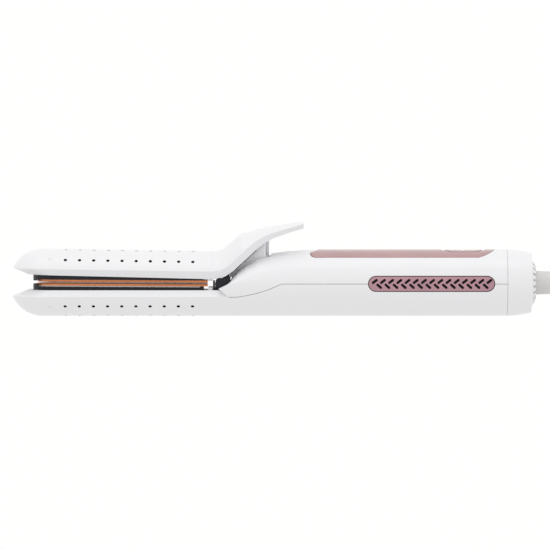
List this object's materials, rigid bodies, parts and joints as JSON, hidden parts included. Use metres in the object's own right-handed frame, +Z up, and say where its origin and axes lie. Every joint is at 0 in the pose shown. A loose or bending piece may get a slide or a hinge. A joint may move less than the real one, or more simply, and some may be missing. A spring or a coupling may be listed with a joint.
{
  "type": "airflow hair styling iron",
  "caption": "Long round clamp iron with a hinged upper arm, thumb lever, floating heated plates, side air grilles, a fan in the handle and a coiled mains lead on a swivel.",
  "frame": {"origin": "middle of the tool's length and width, on the surface that its lower casing lies on", "axes": "+X from the nose to the lead, +Z up from the lower casing to the thumb lever, +Y across to the left-hand grille"},
  "size_m": [0.5829, 0.0522, 0.0575],
  "materials": {
    "shell_white": "moulded, satin gloss",
    "inner_grey": "moulded, matte",
    "rose_panel": "rose gold lacquer, fine grain",
    "rose_button": "rose gold lacquer",
    "rose_grille": "rose tinted, satin",
    "screen_black": "fine mesh",
    "lamp_white": "translucent",
    "board_green": "solder mask",
    "component_black": "moulded",
    "black_plastic": "glass-filled, matte",
    "steel": "zinc plated",
    "copper_plate": "ceramic coated, copper colour",
    "heater_ceramic": "fired alumina",
    "gasket_white": "silicone",
    "silicone": "silicone",
    "cord_white": "soft PVC jacket, satin",
    "tie_black": "strap",
    "plug_brass": "plated brass",
    "lead_grey": "insulated wire"
  },
  "bodies": {
    "handle": {"air_grille_left": "rose_grille", "air_grille_right": "rose_grille", "board_components": "component_black", "casing_screws": "steel", "control_board": "board_green", "control_panel": "rose_panel", "cord_hank": "cord_white", "cord_lead": "cord_white", "cord_tail": "cord_white", "cord_tie": "tie_black", "dust_screen_left": "screen_black", "dust_screen_right": "screen_black", "end_collar": "shell_white", "fan_duct": "black_plastic", "fan_motor": "steel", "handle_cover": "shell_white", "heater_leads": "lead_grey", "hinge_base": "black_plastic", "hinge_pin": "steel", "hinge_spring": "steel", "indicator_board": "board_green", "indicator_lenses": "lamp_white", "lower_air_guide": "black_plastic", "lower_casing": "shell_white", "lower_plate_tray": "black_plastic", "mains_leads": "lead_grey", "motor_mount": "black_plastic", "plug_blades": "plug_brass", "plug_body": "cord_white", "power_board": "board_green", "rear_grille": "shell_white", "swivel_clip": "steel", "swivel_socket": "inner_grey", "tact_switches": "component_black"},
    "upper_arm": {"upper_arm": "shell_white", "lever_cover": "inner_grey", "lever_post": "inner_grey", "hinge_leaf": "black_plastic", "upper_plate_tray": "black_plastic", "upper_air_guide": "black_plastic", "lever_seal": "black_plastic"},
    "upper_plate_body": {"upper_plate": "copper_plate", "upper_heater": "heater_ceramic", "upper_thermostat": "steel", "upper_pads": "silicone", "upper_plate_gasket": "gasket_white"},
    "lower_plate_body": {"lower_plate": "copper_plate", "lower_heater": "heater_ceramic", "lower_thermostat": "steel", "lower_pads": "silicone", "lower_plate_gasket": "gasket_white"},
    "power_button": {"power_button": "rose_button"},
    "mode_button": {"mode_button": "rose_button"},
    "fan": {"fan_shaft": "steel", "fan_impeller": "black_plastic"},
    "swivel": {"cord_boot": "cord_white"}
  },
  "joints": [
    {"name": "clamp_hinge", "type": "hinge", "parent": "handle", "child": "upper_arm", "pos_m": [-0.033, 0, 0.02], "axis": [0, 1, 0], "range_deg": [0, 9], "stiffness_Nm_per_rad": 0.5, "springref_deg": -8.02},
    {"name": "upper_plate_float", "type": "slide", "parent": "upper_arm", "child": "upper_plate_body", "axis": [0.0058, 0, 1], "range_m": [0, 0.0008], "stiffness_N_per_m": 4000, "springref_m": -0.0005, "deforming": ["upper_pads"]},
    {"name": "lower_plate_float", "type": "slide", "parent": "handle", "child": "lower_plate_body", "axis": [-0.0058, 0, -1], "range_m": [0, 0.0008], "stiffness_N_per_m": 4000, "springref_m": -0.0005, "deforming": ["lower_pads"]},
    {"name": "power_button_press", "type": "slide", "parent": "handle", "child": "power_button", "axis": [0, 0, -1], "range_m": [0, 0.0006], "stiffness_N_per_m": 1500, "springref_m": -0.0005},
    {"name": "mode_button_press", "type": "slide", "parent": "handle", "child": "mode_button", "axis": [0, 0, -1], "range_m": [0, 0.0006], "stiffness_N_per_m": 1500, "springref_m": -0.0005},
    {"name": "fan_spin", "type": "hinge", "parent": "handle", "child": "fan", "pos_m": [0.058, 0, 0.0201], "axis": [1, 0, 0], "continuous": true},
    {"name": "cord_swivel", "type": "hinge", "parent": "handle", "child": "swivel", "pos_m": [0.155, 0, 0.0201], "axis": [1, 0, 0], "continuous": true}
  ]
}
